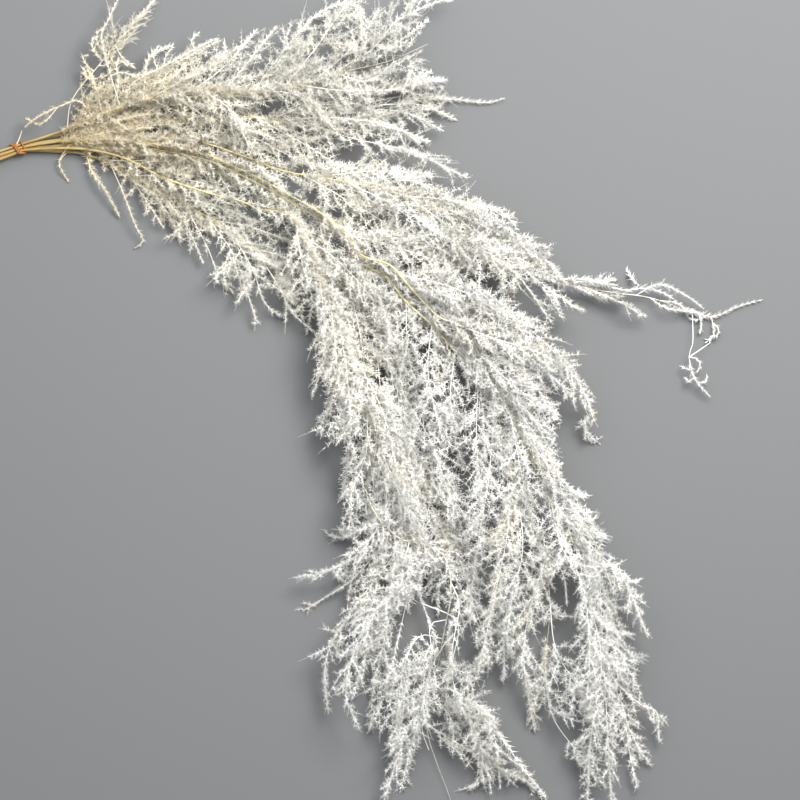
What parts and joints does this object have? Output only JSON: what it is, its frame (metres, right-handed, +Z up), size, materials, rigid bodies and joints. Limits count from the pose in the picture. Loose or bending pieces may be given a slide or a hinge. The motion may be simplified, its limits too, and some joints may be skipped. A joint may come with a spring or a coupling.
{
  "type": "bundle of preserved asparagus fern",
  "caption": "Bundle of bleached, preserved asparagus fern stems with feathery plumes, lying on its side, held by a rubber band near the cut ends.",
  "frame": {"origin": "middle of the flat underside of the rubber band, on the surface that the bundle lies on", "axes": "+Z up from the surface, +X along the stems to the right of the picture, +Y to the top of the picture"},
  "size_m": [0.7262, 0.7524, 0.0845],
  "materials": {
    "fern": "matte bleached plant, cream white",
    "band": "satin orange-brown rubber"
  },
  "bodies": {
    "root": {"spray_upper": "fern", "spray_upper_under": "fern", "spray_trailing": "fern", "spray_main": "fern", "spray_right_column": "fern", "spray_left_column": "fern", "spray_centre": "fern", "spray_lower_left": "fern", "rubber_band": "band"}
  },
  "joints": []
}
